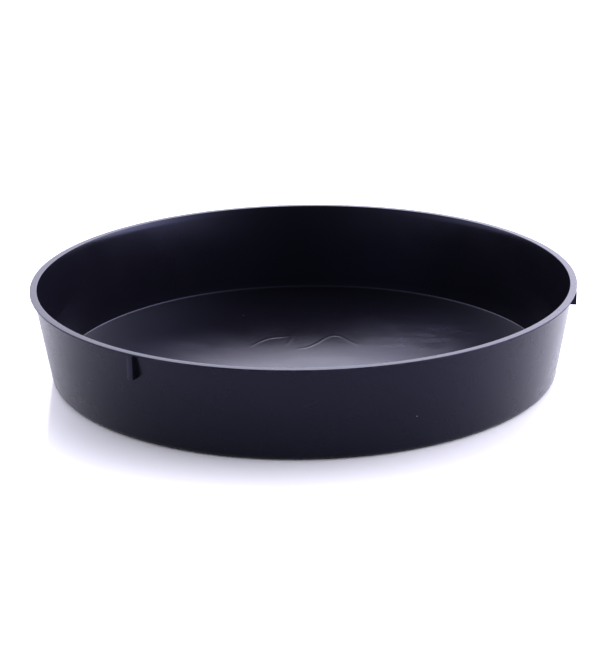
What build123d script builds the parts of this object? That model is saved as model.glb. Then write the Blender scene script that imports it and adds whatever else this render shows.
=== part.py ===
"""A round plant pot saucer: one injection moulding in black plastic, 350 mm across and 60 mm high.

Frame: +Z up, origin at the centre of the base, in the plane that the saucer stands on.
The first stacking lug is centred on +X.
"""

import os
from math import cos, degrees, radians, tan, atan2

from build123d import *

# Overall sizes
rim_diameter = 350.0  # across the outside of the lip
overall_height = 60.0
base_diameter = 326.0  # where the outside of the wall, carried down, meets the ground

# Wall and floor
wall = 2.4  # square to the slope
floor_thickness = 1.5
base_corner_radius = 4.0  # outside, between wall and base
floor_corner_radius = 1.2  # inside, between wall and floor

# Lip: a flat rim land that stands out past the wall
lip_overhang = 2.2
lip_thickness = 1.0
lip_edge_radius = 0.3  # the lip's upper outer edge and the land's inner edge

# Foot ring: the part of the underside that touches the ground
foot_ring_width = 8.0  # from the end of the base corner inwards
foot_height = 0.3
foot_edge_radius = 0.2

# Stacking lugs: short ribs under the lip that keep nested saucers apart
lug_count = 3
lug_width = 4.0  # along the rim
lug_drop = 16.0  # from the rim land down to the lug's underside
lug_edge_radius = 0.25

# Gate mark: the stub that the moulding was filled through, under the centre of the floor
gate_diameter = 3.0
gate_clearance = 0.1  # above the ground

# Places that follow from the sizes
rim_radius = rim_diameter / 2
base_radius = base_diameter / 2
lip_underside = overall_height - lip_thickness
wall_top_radius = rim_radius - lip_overhang
slope = atan2(wall_top_radius - base_radius, lip_underside)
wall_across = wall / cos(slope)  # the wall's thickness measured level
floor_top = foot_height + floor_thickness
# The base corner's arc ends this far inside the point where the wall's line meets the ground
base_corner_inset = base_corner_radius * tan((radians(90) - slope) / 2)
foot_ring_radius = base_radius - base_corner_inset - foot_ring_width
lug_bottom = overall_height - lug_drop
lug_arc = degrees(lug_width / rim_radius)


def outside_radius(z):
    """The outside of the wall at height z."""
    return base_radius + z * tan(slope)


def inside_radius(z):
    """The inside of the wall at height z."""
    return outside_radius(z) - wall_across


def middle_radius(z):
    """Half way through the wall at height z."""
    return outside_radius(z) - wall_across / 2


# One stacking lug, rooted in the middle of the wall, with its outer face flush with the lip
with BuildPart() as stacking_lug:
    with BuildSketch(Plane.XZ.rotated((0, 0, -lug_arc / 2))):
        with BuildLine():
            Polyline(
                (middle_radius(lug_bottom), lug_bottom),
                (rim_radius, lug_bottom),
                (rim_radius, lip_underside),
                (middle_radius(lip_underside), lip_underside),
                close=True,
            )
        make_face()
    revolve(axis=Axis.Z, revolution_arc=lug_arc)
    outer_face = stacking_lug.faces().filter_by(GeomType.CYLINDER).sort_by(SortBy.AREA)[-1]
    upright_edges = outer_face.edges().filter_by(Axis.Z)
    lower_edge = outer_face.edges().sort_by(Axis.Z)[:1]
    fillet(upright_edges + lower_edge, radius=lug_edge_radius)

# The saucer: its section revolved, then the lugs and the gate mark
with BuildPart() as saucer:
    with BuildSketch(Plane.XZ) as section:
        with BuildLine():
            Polyline(
                (0, foot_height),
                (foot_ring_radius, foot_height),
                (foot_ring_radius, 0),
                (base_radius, 0),
                (wall_top_radius, lip_underside),
                (rim_radius, lip_underside),
                (rim_radius, overall_height),
                (inside_radius(overall_height), overall_height),
                (inside_radius(floor_top), floor_top),
                (0, floor_top),
                close=True,
            )
        make_face()

        def corner(r, z):
            """The corner of the section nearest to radius r and height z."""
            return section.vertices().sort_by_distance((r, z))[0]

        fillet(corner(base_radius, 0), radius=base_corner_radius)
        fillet(corner(inside_radius(floor_top), floor_top), radius=floor_corner_radius)
        fillet(corner(foot_ring_radius, 0), radius=foot_edge_radius)
        fillet(corner(rim_radius, overall_height), radius=lip_edge_radius)
        fillet(corner(inside_radius(overall_height), overall_height), radius=lip_edge_radius)
    revolve(axis=Axis.Z)
    with PolarLocations(0, lug_count):
        add(stacking_lug.part)
    with BuildSketch(Plane.XY.offset(gate_clearance)):
        Circle(gate_diameter / 2)
    extrude(amount=foot_height + floor_thickness / 2 - gate_clearance)

saucer.part.label = "saucer"

os.makedirs("parts", exist_ok=True)
export_step(saucer.part, "parts/saucer.step")
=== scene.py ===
"""The looks of a black moulded plant pot saucer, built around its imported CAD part.

The CAD saucer is replaced by one fine mesh of the same moulding, with the small departures
from the drawing that a real one has: a floor that is slightly warped and marked by the flow of
the plastic, and a wall that waves faintly. Lengths are in metres, in the CAD frame: +Z up,
origin at the centre of the base.
"""

import math

import bmesh
import bpy
import numpy as np
from mathutils import Matrix, Vector


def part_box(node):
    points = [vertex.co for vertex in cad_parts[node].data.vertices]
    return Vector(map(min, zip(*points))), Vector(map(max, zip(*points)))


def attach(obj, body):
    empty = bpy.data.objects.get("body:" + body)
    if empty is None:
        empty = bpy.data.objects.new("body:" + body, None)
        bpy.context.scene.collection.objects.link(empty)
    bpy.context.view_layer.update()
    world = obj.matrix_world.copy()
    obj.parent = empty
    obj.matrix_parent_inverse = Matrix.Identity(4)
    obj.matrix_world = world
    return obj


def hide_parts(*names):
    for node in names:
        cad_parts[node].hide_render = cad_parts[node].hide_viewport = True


MM = 0.001

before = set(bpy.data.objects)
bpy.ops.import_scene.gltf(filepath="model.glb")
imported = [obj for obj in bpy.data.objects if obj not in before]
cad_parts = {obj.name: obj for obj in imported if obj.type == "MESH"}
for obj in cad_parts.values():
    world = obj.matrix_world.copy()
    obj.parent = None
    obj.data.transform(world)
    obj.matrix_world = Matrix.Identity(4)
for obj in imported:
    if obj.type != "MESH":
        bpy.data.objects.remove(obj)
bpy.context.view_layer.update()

# ---------------------------------------------------------------- sizes of the moulding
node_low, node_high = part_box("saucer")
RIM_RADIUS = (node_high.x - node_low.x) / 2
HEIGHT = node_high.z
BASE_RADIUS = 163.0 * MM  # where the outside of the wall, carried down, meets the ground
WALL = 2.4 * MM
FLOOR_THICKNESS = 1.5 * MM
BASE_CORNER = 4.0 * MM
FLOOR_CORNER = 1.2 * MM
LIP_OVERHANG = 2.2 * MM
LIP_THICKNESS = 1.0 * MM
LIP_EDGE = 0.3 * MM
FOOT_RING_WIDTH = 8.0 * MM
FOOT_HEIGHT = 0.3 * MM
FOOT_EDGE = 0.2 * MM
LUG_COUNT = 3
LUG_WIDTH = 4.0 * MM
LUG_DROP = 16.0 * MM
LUG_EDGE = 0.25 * MM
GATE_RADIUS = 1.5 * MM
GATE_CLEARANCE = 0.1 * MM
MOULD_EDGE = 0.08 * MM  # what the mould's sharpest edge leaves
ROOT_FILLET = 0.4 * MM  # in the inner corners under the lip and the lugs

LIP_UNDERSIDE = HEIGHT - LIP_THICKNESS
SLOPE = math.atan2(RIM_RADIUS - LIP_OVERHANG - BASE_RADIUS, LIP_UNDERSIDE)
FLOOR_TOP = FOOT_HEIGHT + FLOOR_THICKNESS
BASE_CORNER_INSET = BASE_CORNER * math.tan((math.pi / 2 - SLOPE) / 2)
FOOT_RING_RADIUS = BASE_RADIUS - BASE_CORNER_INSET - FOOT_RING_WIDTH
LUG_BOTTOM = HEIGHT - LUG_DROP
LUG_TAIL = LUG_BOTTOM - 2 * MM  # the wall is plain below this
LUG_HALF_ANGLE = LUG_WIDTH / RIM_RADIUS / 2

# ---------------------------------------------------------------- mesh density
PLAIN_COLUMNS = 118  # from one lug to the next
LUG_COLUMNS = 2  # across a lug's outer face
ARC_STEPS = 6
HUB_RADIUS = 12 * MM  # inside it the rings have fewer columns towards the centre
MARKED_RADIUS = 65 * MM  # inside it the floor's rings are close enough for the flow marks


def outside_radius(z):
    """The outside of the wall at height z."""
    return BASE_RADIUS + z * math.tan(SLOPE)


def inside_radius(z):
    """The inside of the wall at height z."""
    return outside_radius(z) - WALL / math.cos(SLOPE)


# ---------------------------------------------------------------- section of the moulding
def fillet_arc(last, here, following, radius):
    """The points of a fillet at the corner here, or the corner alone if the radius is 0."""
    if radius == 0:
        return [here]
    to_last = (last - here).normalized()
    to_next = (following - here).normalized()
    half = to_last.angle(to_next) / 2
    centre = here + (to_last + to_next).normalized() * (radius / math.sin(half))
    start = here + to_last * (radius / math.tan(half)) - centre
    end = here + to_next * (radius / math.tan(half)) - centre
    turn = math.atan2(start.x * end.y - start.y * end.x, start.dot(end))
    steps = [turn * k / ARC_STEPS for k in range(ARC_STEPS + 1)]
    return [centre + Matrix.Rotation(step, 2) @ start for step in steps]


def outline(*corners):
    """A dense outline from corners of (radius, height, fillet, spacing along the run after it)."""
    points = [Vector(corner[:2]) for corner in corners]
    bends = [[points[0]]]
    for i in range(1, len(corners) - 1):
        bends.append(fillet_arc(points[i - 1], points[i], points[i + 1], corners[i][2]))
    bends.append([points[-1]])
    dense = []
    for bend, following, corner in zip(bends, bends[1:], corners):
        run = following[0] - bend[-1]
        pieces = max(1, round(run.length / corner[3]))
        dense += bend + [bend[-1] + run * (k / pieces) for k in range(1, pieces)]
    return dense + bends[-1]


def head_outline():
    """From the hub of the floor out to the wall, up it and over to the lip's outer face."""
    return outline(
        (HUB_RADIUS, FLOOR_TOP, 0, 0.8 * MM),
        (MARKED_RADIUS, FLOOR_TOP, 0, 3.5 * MM),
        (inside_radius(FLOOR_TOP), FLOOR_TOP, FLOOR_CORNER, 4 * MM),
        (inside_radius(HEIGHT), HEIGHT, LIP_EDGE, 1.2 * MM),
        (RIM_RADIUS, HEIGHT, LIP_EDGE, 0.3 * MM),
        (RIM_RADIUS, LIP_UNDERSIDE + MOULD_EDGE, 0, MM),
    )


def plain_side():
    """From the lip's outer face in under the lip and down the wall."""
    return outline(
        (RIM_RADIUS, LIP_UNDERSIDE + MOULD_EDGE, 0, MM),
        (RIM_RADIUS - MOULD_EDGE, LIP_UNDERSIDE, 0, 0.6 * MM),
        (outside_radius(LIP_UNDERSIDE), LIP_UNDERSIDE, ROOT_FILLET, 3.5 * MM),
        (outside_radius(LUG_TAIL), LUG_TAIL, 0, MM),
    )


def lug_side(inset):
    """The same stretch over a lug, whose face stands inset from the lip's at its rounded edges."""
    return outline(
        (RIM_RADIUS, LIP_UNDERSIDE + MOULD_EDGE, 0, MM),
        (RIM_RADIUS - inset, LIP_UNDERSIDE, 0, 3 * MM),
        (RIM_RADIUS - inset, LUG_BOTTOM, LUG_EDGE, MM),
        (outside_radius(LUG_BOTTOM), LUG_BOTTOM, ROOT_FILLET, MM),
        (outside_radius(LUG_TAIL), LUG_TAIL, 0, MM),
    )


def tail_outline():
    """From the wall below the lugs down round the base and in to the hub of the underside."""
    return outline(
        (outside_radius(LUG_TAIL), LUG_TAIL, 0, 3.5 * MM),
        (BASE_RADIUS, 0, BASE_CORNER, 2.5 * MM),
        (FOOT_RING_RADIUS, 0, FOOT_EDGE, MM),
        (FOOT_RING_RADIUS, FOOT_HEIGHT, 0, 4 * MM),
        (HUB_RADIUS, FOOT_HEIGHT, 0, MM),
    )


def stations():
    """Every column round the rim, as its angle and its sides: two where a lug's cheek stands."""
    plain = plain_side()
    lug_face = lug_side(0)
    edge_angle = LUG_EDGE / RIM_RADIUS
    rounding = []
    for k in range(3):
        swing = math.radians(30 * k)
        side = lug_side(LUG_EDGE * (1 - math.sin(swing)))
        rounding.append((edge_angle * (1 - math.cos(swing)), side))
    flat = LUG_HALF_ANGLE - edge_angle
    sector = 2 * math.pi / LUG_COUNT
    for lug in range(LUG_COUNT):
        middle = lug * sector
        for swing, side in rounding:
            sides = [plain, side] if swing == 0 else [side]
            yield middle - LUG_HALF_ANGLE + swing, sides
        for k in range(LUG_COLUMNS + 1):
            yield middle - flat + 2 * flat * k / LUG_COLUMNS, [lug_face]
        for swing, side in rounding[::-1]:
            sides = [side, plain] if swing == 0 else [side]
            yield middle + LUG_HALF_ANGLE - swing, sides
        for k in range(1, PLAIN_COLUMNS):
            gap = sector - 2 * LUG_HALF_ANGLE
            yield middle + LUG_HALF_ANGLE + gap * k / PLAIN_COLUMNS, [plain]


# ---------------------------------------------------------------- body mesh
def angle_of(vertex):
    return math.atan2(vertex.co.y, vertex.co.x) % (2 * math.pi)


def stitch(mesh, outer, inner):
    """Triangles between two rings of different counts, both in order from the angle 0."""
    a, b = 0, 0
    while a < len(outer) or b < len(inner):
        step_outer = b == len(inner) or (
            a < len(outer) and (a + 1) / len(outer) <= (b + 1) / len(inner)
        )
        here = [outer[a % len(outer)], inner[b % len(inner)]]
        if step_outer:
            a += 1
            mesh.faces.new([here[0], outer[a % len(outer)], here[1]])
        else:
            b += 1
            mesh.faces.new([here[0], inner[b % len(inner)], here[1]])


def close_hub(mesh, ring, rows):
    """Carries a ring in to the axis through rows of (radius, height, columns)."""
    ring = sorted(ring, key=angle_of)
    for radius, height, count in rows:
        inner = []
        for k in range(count):
            angle = 2 * math.pi * k / count
            inner.append(
                mesh.verts.new((radius * math.cos(angle), radius * math.sin(angle), height))
            )
        stitch(mesh, ring, inner)
        ring = inner
    centre = mesh.verts.new((0, 0, rows[-1][1]))
    for k, vertex in enumerate(ring):
        mesh.faces.new([vertex, ring[(k + 1) % len(ring)], centre])


def build_body():
    """The whole moulding as one closed mesh, still exactly to the drawing."""
    mesh = bmesh.new()
    head, tail = head_outline(), tail_outline()

    def grow(angle, points):
        return [mesh.verts.new((r * math.cos(angle), r * math.sin(angle), z)) for r, z in points]

    columns = []
    for angle, sides in stations():
        top, bottom = grow(angle, head), grow(angle, tail)
        middles = [grow(angle, side[1:-1]) for side in sides]
        if len(middles) == 2:  # the flat cheek of a lug
            first, second = middles
            mesh.faces.new([top[-1], *first, bottom[0], *second[::-1]])
        columns.append((top, middles, bottom))
    for i, (top, middles, bottom) in enumerate(columns):
        next_top, next_middles, next_bottom = columns[(i + 1) % len(columns)]
        here = top + middles[-1] + bottom
        there = next_top + next_middles[0] + next_bottom
        for k in range(len(here) - 1):
            mesh.faces.new((here[k], here[k + 1], there[k + 1], there[k]))
    floor_rows = []
    for k in range(1, 12):
        radius = HUB_RADIUS - k * MM
        floor_rows.append((radius, FLOOR_TOP, max(12, round(radius / MM) * 8)))
    close_hub(mesh, [column[0][0] for column in columns], floor_rows)
    gate_rows = [(9 * MM, FOOT_HEIGHT, 96), (4 * MM, FOOT_HEIGHT, 36)]
    gate_rows += [(GATE_RADIUS + MOULD_EDGE, FOOT_HEIGHT, 36)]
    gate_rows += [(GATE_RADIUS, GATE_CLEARANCE + MOULD_EDGE, 36)]
    gate_rows += [(GATE_RADIUS - MOULD_EDGE, GATE_CLEARANCE, 36)]
    close_hub(mesh, [column[2][-1] for column in columns], gate_rows)
    bmesh.ops.recalc_face_normals(mesh, faces=mesh.faces)
    return mesh


# ---------------------------------------------------------------- departures from the drawing
FLOOR_EDGE = inside_radius(FLOOR_TOP) - FLOOR_CORNER
STILL_WIDTH = 40 * MM  # of floor, inside the foot ring, over which its warp dies away
RIPPLE_HEIGHT = 0.03 * MM
WAVE_HEIGHT = 0.02 * MM
MARK_HEIGHT = 0.11 * MM
MARK_HALF_WIDTH = 0.8 * MM
SAME_LEVEL = 0.1 * MM  # points nearer than this to the floor's top belong to it
# Shallow crowns of the floor: place, height, and width across and along, in millimetres
CROWNS = [
    ((0, 85), 0.70, (75, 42)),
    ((80, 95), 0.40, (45, 36)),
    ((0, -60), -0.15, (60, 45)),
]
# Pale patches on the floor, part blush where the plastic cooled before it had filled the mould and
# part painted sheen, a brightening of reflected light painted into the colour: place, strength,
# widths
BLUSHES_AND_SHEEN = [
    ((84, 56), 1.0, (34, 28)),
    ((45, 22), 0.6, (30, 10)),
    ((-78, 18), 0.55, (34, 18)),
]
# Marks that the plastic left where it folded over itself as it filled the floor, in millimetres
FLOW_MARKS = [
    [(-38, 27), (-33.5, 36), (-26.5, 43.5), (-20, 45.5), (-15, 48)],
    [(-13, 58), (-12, 50), (-12.5, 42), (-14.5, 31)],
    [(-6, 24), (0, 27), (6, 36), (10.5, 45), (15.5, 50), (21, 48), (26, 41), (33, 33)],
]


def smoothstep(x):
    x = np.clip(x, 0, 1)
    return x * x * (3 - 2 * x)


def swells(x, y, shapes):
    """The sum of some soft round shapes at places in millimetres."""
    total = np.zeros(len(x))
    for (middle_x, middle_y), height, (across, along) in shapes:
        spread = ((x - middle_x) / across) ** 2 + ((y - middle_y) / along) ** 2
        total += height * np.exp(-spread / 2)
    return total


def floor_warp(x, y):
    """How far the floor stands above the drawing: a wide thin floor comes out slightly crowned."""
    free = smoothstep((FOOT_RING_RADIUS - np.hypot(x, y)) / STILL_WIDTH)
    x, y = x / MM, y / MM
    ripple = RIPPLE_HEIGHT * np.sin(x / 14 + y / 40) * np.cos(y / 19 - 1)
    return (swells(x, y, CROWNS) * MM + ripple) * free


def curve_through(points, per_run=12):
    """Points along a Catmull-Rom curve through the given ones."""
    ends = np.array([points[0], *points, points[-1]], float)
    t = np.linspace(0, 1, per_run, endpoint=False)[:, None]
    dense = []
    for a, b, c, d in zip(ends, ends[1:], ends[2:], ends[3:]):
        bend = (2 * a - 5 * b + 4 * c - d) * t**2
        twist = (3 * b - a - 3 * c + d) * t**3
        dense.append(0.5 * (2 * b + (c - a) * t + bend + twist))
    return np.vstack([*dense, ends[-1:]])


def flow_relief(x, y):
    """The raised lines of the flow marks, strongest in the middle of each."""
    relief = np.zeros(len(x))
    for mark in FLOW_MARKS:
        line = curve_through(mark) * MM
        away = np.hypot(x[:, None] - line[:, 0], y[:, None] - line[:, 1])
        nearest = away.argmin(1)
        along = nearest / (len(line) - 1)
        strength = np.sin(math.pi * (0.12 + 0.76 * along))
        relief = np.maximum(relief, strength * np.exp(-((away.min(1) / MARK_HALF_WIDTH) ** 2)))
    return relief * MARK_HEIGHT


def wall_waves(angle, z):
    """The faint unevenness of a thin moulded wall."""
    long_wave = np.sin(9 * angle + 1.3) * np.cos(z / HEIGHT * 2.1)
    short_wave = 0.6 * np.sin(23 * angle + z / HEIGHT * 3)
    return WAVE_HEIGHT * (long_wave + short_wave)


def settle(points):
    """Moves the points of the drawn body to where a real moulding's lie."""
    x, y, z = points.T
    radius, angle = np.hypot(x, y), np.arctan2(y, x)
    floor = (radius < FLOOR_EDGE) & (z < FLOOR_TOP + SAME_LEVEL)
    lift = np.where(floor, floor_warp(x, y), 0)
    near_marks = floor & (radius < MARKED_RADIUS) & (z > FLOOR_TOP - SAME_LEVEL)
    lift[near_marks] += flow_relief(x[near_marks], y[near_marks])
    # The wall keeps to the drawing at the base corner and from the lugs' undersides up
    wall = smoothstep((z - 5 * MM) / (8 * MM)) * smoothstep((LUG_BOTTOM - MM - z) / (12 * MM))
    out = np.where(radius > FLOOR_EDGE, wall_waves(angle, z) * wall, 0)
    return np.stack([x + out * np.cos(angle), y + out * np.sin(angle), z + lift], 1)


def paint(mesh, name, values):
    """Keeps one number for each vertex under a name that the material reads."""
    layer = mesh.attributes.new(name, "FLOAT", "POINT")
    layer.data.foreach_set("value", np.asarray(values, np.float32))


def make_saucer():
    """The finished saucer object, with its worn edges, moulding marks and the floor's patches of
    blush and painted sheen painted for the material.
    """
    drawn = build_body()
    mesh = bpy.data.meshes.new("saucer_body")
    drawn.to_mesh(mesh)
    drawn.free()
    points = np.zeros(len(mesh.vertices) * 3, np.float32)
    mesh.vertices.foreach_get("co", points)
    points = points.reshape(-1, 3).astype(float)
    radius, z = np.hypot(points[:, 0], points[:, 1]), points[:, 2]
    mesh.vertices.foreach_set("co", settle(points).astype(np.float32).ravel())
    lip_face = (radius > RIM_RADIUS - 0.05 * MM) & (z > LIP_UNDERSIDE - 0.01 * MM)
    paint(mesh, "parting_line", lip_face & (z < HEIGHT - LIP_EDGE * 0.6))
    outer_rub = np.exp(-(((RIM_RADIUS - radius) / (0.3 * MM)) ** 2)) * (z > LIP_UNDERSIDE - MM)
    base_rub = np.exp(-((z / (1.6 * MM)) ** 2)) * (radius > BASE_RADIUS - BASE_CORNER)
    paint(mesh, "rubbed_edge", np.maximum(outer_rub, 0.7 * base_rub))
    inside = (z > FLOOR_TOP - SAME_LEVEL) & (radius < inside_radius(z) + 0.2 * MM)
    paint(mesh, "core_side", inside)
    on_floor = (np.abs(z - FLOOR_TOP) < SAME_LEVEL) & (radius < FLOOR_EDGE)
    # Pale floor patches: partly blush, partly painted sheen, a brightening of reflected light painted
    # into the colour
    paint(mesh, "blush_and_sheen", swells(points[:, 0] / MM, points[:, 1] / MM, BLUSHES_AND_SHEEN) * on_floor)
    mesh.polygons.foreach_set("use_smooth", [True] * len(mesh.polygons))
    mesh.set_sharp_from_angle(angle=math.radians(35))
    mesh.update()
    saucer = bpy.data.objects.new("saucer_body", mesh)
    bpy.context.scene.collection.objects.link(saucer)
    return saucer


# ---------------------------------------------------------------- materials
class Nodes:
    """A material's node tree, with short calls to add and link nodes."""

    def __init__(self, name):
        self.material = bpy.data.materials.new(name)
        self.material.use_nodes = True
        self.tree = self.material.node_tree
        self.shader = self.tree.nodes["Principled BSDF"]
        self.object_point = self.add("ShaderNodeTexCoord").outputs["Object"]

    def add(self, kind, inputs=None, **settings):
        node = self.tree.nodes.new(kind)
        for name, value in settings.items():
            setattr(node, name, value)
        for name, value in (inputs or {}).items():
            self.feed(node.inputs[name], value)
        return node

    def feed(self, socket, value):
        if isinstance(value, bpy.types.NodeSocket):
            self.tree.links.new(value, socket)
        else:
            socket.default_value = value

    def noise(self, scale, detail=2.0, distortion=0.0, point=None):
        inputs = {"Vector": point or self.object_point, "Scale": scale}
        inputs.update({"Detail": detail, "Distortion": distortion})
        return self.add("ShaderNodeTexNoise", inputs).outputs["Fac"]

    def math(self, operation, a, b=0.0, clamp=False):
        node = self.add("ShaderNodeMath", {0: a, 1: b}, operation=operation, use_clamp=clamp)
        return node.outputs[0]

    def spread(self, value, low, high, to_low=0.0, to_high=1.0):
        inputs = {"Value": value, "From Min": low, "From Max": high}
        inputs.update({"To Min": to_low, "To Max": to_high})
        return self.add("ShaderNodeMapRange", inputs).outputs["Result"]

    def painted(self, name):
        return self.add("ShaderNodeAttribute", attribute_name=name).outputs["Fac"]

    def mix(self, factor, a, b):
        node = self.add("ShaderNodeMix", data_type="RGBA")
        for name, value in (("Factor", factor), ("A", a), ("B", b)):
            kind = "NodeSocketFloatFactor" if name == "Factor" else "NodeSocketColor"
            socket = next(s for s in node.inputs if s.name == name and s.bl_idname == kind)
            self.feed(socket, value)
        return next(s for s in node.outputs if s.bl_idname == "NodeSocketColor")

    def bump(self, height, distance, normal=None):
        node = self.add("ShaderNodeBump", {"Height": height, "Distance": distance, "Strength": 1.0})
        if normal:
            self.tree.links.new(normal, node.inputs["Normal"])
        return node.outputs["Normal"]


def scuffs(n):
    """Fine scratches in patches, long in one direction and short in the other, in two sets."""
    scratches = []
    for turn, seed in ((0.5, 0.0), (-0.9, 3.7)):
        place = n.add("ShaderNodeMapping", {"Vector": n.object_point})
        place.inputs["Rotation"].default_value = (0, 0, turn)
        place.inputs["Scale"].default_value = (60, 1600, 60)
        place.inputs["Location"].default_value = (seed, seed, 0)
        line = n.noise(1.0, detail=1, point=place.outputs["Vector"])
        scratches.append(n.spread(line, 0.70, 0.80))
    patches = n.spread(n.noise(22, detail=2), 0.56, 0.76)
    return n.math("MULTIPLY", n.math("MAXIMUM", *scratches), patches)


def streaked_blush_and_sheen(n):
    """The floor's patches of blush and painted sheen, streaked the way the plastic ran."""
    streaks = n.add("ShaderNodeMapping", {"Vector": n.object_point})
    streaks.inputs["Rotation"].default_value = (0, 0, -0.5)
    streaks.inputs["Scale"].default_value = (1, 3, 1)
    cloud = n.noise(26, detail=5, distortion=1.2, point=streaks.outputs["Vector"])
    return n.math("MULTIPLY", n.painted("blush_and_sheen"), n.spread(cloud, 0.25, 0.75, 0.45, 1.3))


def dust_specks(n):
    """Specks of dust: the middles of half the cells of a cell pattern that the surface cuts."""
    cells = n.add("ShaderNodeTexVoronoi", {"Vector": n.object_point, "Scale": 60.0})
    chosen = n.add("ShaderNodeSeparateColor", {"Color": cells.outputs["Color"]})
    half = n.math("GREATER_THAN", chosen.outputs["Red"], 0.5)
    speck_size = n.spread(chosen.outputs["Green"], 0, 1, 0.014, 0.030)
    return n.math("MULTIPLY", n.math("LESS_THAN", cells.outputs["Distance"], speck_size), half)


def black_plastic():
    """Near-black moulded polypropylene: satin, faintly mottled, rubbed at its edges and dusty, with
    pale floor patches that are part blush and part painted sheen.
    """
    n = Nodes("black_moulded_plastic")
    mottle = n.noise(38, detail=3)
    scuff = scuffs(n)
    blush_and_sheen = streaked_blush_and_sheen(n)
    speck = dust_specks(n)
    rub = n.math("MULTIPLY", n.painted("rubbed_edge"), n.spread(n.noise(160, detail=4), 0.42, 0.68))

    colour = n.mix(mottle, (0.0053, 0.0051, 0.0092, 1), (0.0069, 0.0066, 0.0118, 1))
    colour = n.mix(n.math("MULTIPLY", rub, 0.35), colour, (0.060, 0.058, 0.070, 1))
    colour = n.mix(n.math("MULTIPLY", scuff, 0.05), colour, (0.08, 0.08, 0.09, 1))
    # The pale floor patches: the haze of blush, and painted sheen that lightens the colour where the
    # floor shows reflected light
    pale_haze_and_sheen = n.math("MULTIPLY", blush_and_sheen, 0.5, clamp=True)
    colour = n.mix(pale_haze_and_sheen, colour, (0.045, 0.042, 0.065, 1))
    colour = n.mix(n.math("MULTIPLY", speck, 0.9), colour, (0.45, 0.45, 0.47, 1))

    # The mould's core is polished finer than its cavity, so the inside is the glossier one
    polish = n.math("MULTIPLY", n.painted("core_side"), 0.11)
    roughness = n.math("SUBTRACT", n.spread(mottle, 0.3, 0.7, 0.26, 0.29), polish)
    roughness = n.math("ADD", roughness, n.math("MULTIPLY", blush_and_sheen, 0.13))
    roughness = n.math("ADD", roughness, n.math("MULTIPLY", scuff, 0.06))
    roughness = n.math("ADD", roughness, n.math("MULTIPLY", rub, 0.12))
    parting = n.math("MULTIPLY", n.painted("parting_line"), 0.28)
    roughness = n.math("ADD", roughness, parting)
    roughness = n.math("MAXIMUM", roughness, n.math("MULTIPLY", speck, 0.4))

    skin = n.bump(n.noise(900, detail=2), 0.003 * MM)
    peel = n.bump(n.noise(120, detail=2), 0.008 * MM, normal=skin)
    marks = n.bump(scuff, 0.001 * MM, normal=peel)
    n.feed(n.shader.inputs["Base Color"], colour)
    n.feed(n.shader.inputs["Roughness"], roughness)
    n.feed(n.shader.inputs["Normal"], marks)
    n.shader.inputs["IOR"].default_value = 1.39
    n.shader.inputs["Specular Tint"].default_value = (0.64, 0.66, 1, 1)
    return n.material


def white_table():
    """The glossy white sheet that the saucer stands on."""
    n = Nodes("white_table")
    n.shader.inputs["Base Color"].default_value = (0.84, 0.84, 0.82, 1)
    n.feed(n.shader.inputs["Roughness"], n.spread(n.noise(6), 0.3, 0.7, 0.10, 0.14))
    n.shader.inputs["IOR"].default_value = 1.45
    return n.material


# ---------------------------------------------------------------- stage, lights and camera
TABLE_HALF_WIDTH = 5.0


def make_table():
    """A plain pale floor under the saucer."""
    mesh = bpy.data.meshes.new("table")
    half = TABLE_HALF_WIDTH
    corners = [(-half, -half, 0), (half, -half, 0), (half, half, 0), (-half, half, 0)]
    mesh.from_pydata(corners, [], [(0, 1, 2, 3)])
    table = bpy.data.objects.new("table", mesh)
    bpy.context.scene.collection.objects.link(table)
    mesh.materials.append(white_table())


def direction(azimuth, elevation):
    """Away from the object, from azimuth 0 behind it, turning to its right, in degrees."""
    a, e = math.radians(azimuth), math.radians(elevation)
    return Vector((math.sin(a) * math.cos(e), math.cos(a) * math.cos(e), math.sin(e)))


# Soft lights round the table: azimuth and elevation in degrees, and strength
SOFT_LIGHTS = [
    (0, 42, 3.3),
    (30, 12, 3.5),
    (60, 12, 6.6),
    (95, 12, 7.5),
    (-60, 12, 5.4),
    (-95, 12, 2.8),
    (-135, 12, 0.9),
]
LIGHT_WIDTH = math.radians(22)  # from a light's middle to where it has fallen to 0.6 of its strength
LIGHT_TINT = (0.88, 0.87, 1.0, 1)
ROOM_LEVEL = 0.15


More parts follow.
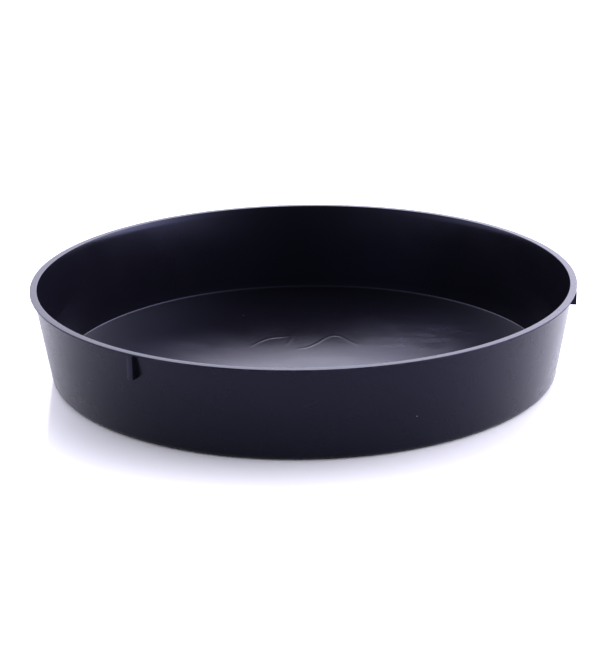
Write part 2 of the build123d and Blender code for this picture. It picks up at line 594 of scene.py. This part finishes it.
def light_studio():
    """A dim room with soft lights behind the saucer and at its sides, and a weak one in front."""
    world = bpy.data.worlds.new("studio")
    world.use_nodes = True
    tree = world.node_tree
    toward = tree.nodes.new("ShaderNodeTexCoord").outputs["Generated"]

    def math_node(operation, a, b):
        node = tree.nodes.new("ShaderNodeMath")
        node.operation = operation
        for socket, value in zip(node.inputs, (a, b)):
            if isinstance(value, bpy.types.NodeSocket):
                tree.links.new(value, socket)
            else:
                socket.default_value = value
        return node.outputs[0]

    total = None
    for azimuth, elevation, strength in SOFT_LIGHTS:
        cosine = tree.nodes.new("ShaderNodeVectorMath")
        cosine.operation = "DOT_PRODUCT"
        tree.links.new(toward, cosine.inputs[0])
        cosine.inputs[1].default_value = direction(azimuth, elevation)
        short_of = math_node("SUBTRACT", cosine.outputs["Value"], 1)
        fall = math_node("MULTIPLY", short_of, 1 / LIGHT_WIDTH**2)
        glow = math_node("MULTIPLY", math_node("POWER", math.e, fall), strength)
        total = math_node("ADD", glow, ROOM_LEVEL if total is None else total)
    room = tree.nodes["Background"]
    room.inputs["Color"].default_value = LIGHT_TINT
    tree.links.new(total, room.inputs["Strength"])
    bpy.context.scene.world = world


CAMERA_AZIMUTH = math.radians(5.2)  # turned from the front towards +X
CAMERA_DISTANCE = 1.204  # level, from the saucer's axis
CAMERA_HEIGHT = 0.439
CAMERA_PAN = math.radians(-0.195)
CAMERA_TILT = math.radians(18.89)  # below the horizon
CAMERA_ROLL = math.radians(-0.92)
CAMERA_LENS = 108.5
SENSOR_WIDTH = 36


def place_camera():
    """The camera, a little above the rim and slightly rolled."""
    data = bpy.data.cameras.new("camera")
    data.lens, data.sensor_width = CAMERA_LENS, SENSOR_WIDTH
    data.clip_start, data.clip_end = 0.05, 50
    camera = bpy.data.objects.new("camera", data)
    turn = Matrix.Rotation(CAMERA_AZIMUTH, 4, "Z")
    place = Matrix.Translation((0, -CAMERA_DISTANCE, CAMERA_HEIGHT))
    aim = Matrix.Rotation(-CAMERA_PAN, 4, "Z") @ Matrix.Rotation(math.pi / 2 - CAMERA_TILT, 4, "X")
    camera.matrix_world = turn @ place @ aim @ Matrix.Rotation(CAMERA_ROLL, 4, "Z")
    bpy.context.scene.collection.objects.link(camera)
    bpy.context.scene.camera = camera


saucer = make_saucer()
saucer.data.materials.append(black_plastic())
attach(saucer, "root")
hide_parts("saucer")

make_table()
light_studio()
place_camera()
bpy.context.scene.view_settings.view_transform = "Standard"
bpy.context.scene.view_settings.gamma = 0.81
